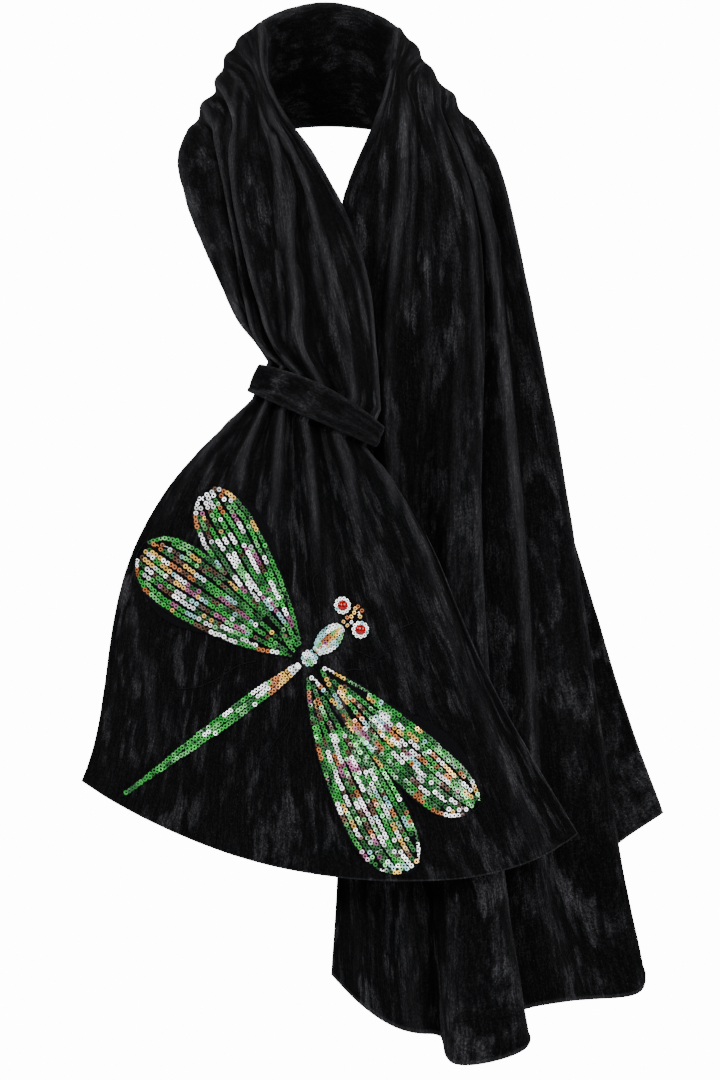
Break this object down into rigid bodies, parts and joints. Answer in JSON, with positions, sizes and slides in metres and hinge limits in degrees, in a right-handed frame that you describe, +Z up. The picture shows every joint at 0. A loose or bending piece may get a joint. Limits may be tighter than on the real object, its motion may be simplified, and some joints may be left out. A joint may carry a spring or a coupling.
{
  "type": "velvet scarf",
  "caption": "Long velvet scarf in worn form: a high neck loop, an end gathered through a keeper band and fanned out with a large sewn dragonfly, and a long end behind it.",
  "frame": {"origin": "the neck_rest mount: the middle of the neck loop, on the level where the scarf rests on the shoulders", "axes": "+Z up, -Y to the front of the worn scarf, +X to the right as seen from the front"},
  "size_m": [0.5884, 0.2934, 1.0758],
  "materials": {
    "velvet": "black crushed velvet, matte with a soft grey sheen on the folds",
    "velvet_band": "the same black velvet, sewn double as a narrow loop",
    "sequins_green": "ring sequins, mostly iridescent green and silver white",
    "sequins_pale": "ring sequins, mostly silver white and pale gold",
    "sequins_gold": "gold ring sequins",
    "eye_bead": "glossy red beads"
  },
  "bodies": {
    "root": {"right_fall": "velvet", "left_fall": "velvet", "neck_wrap": "velvet", "fan_end": "velvet", "keeper_band": "velvet_band", "wing_upper": "sequins_green", "wing_lower": "sequins_green", "wing_right": "sequins_green", "wing_base": "sequins_green", "abdomen": "sequins_green", "thorax": "sequins_pale", "head": "sequins_gold", "eye_left": "eye_bead", "eye_right": "eye_bead"}
  },
  "joints": []
}
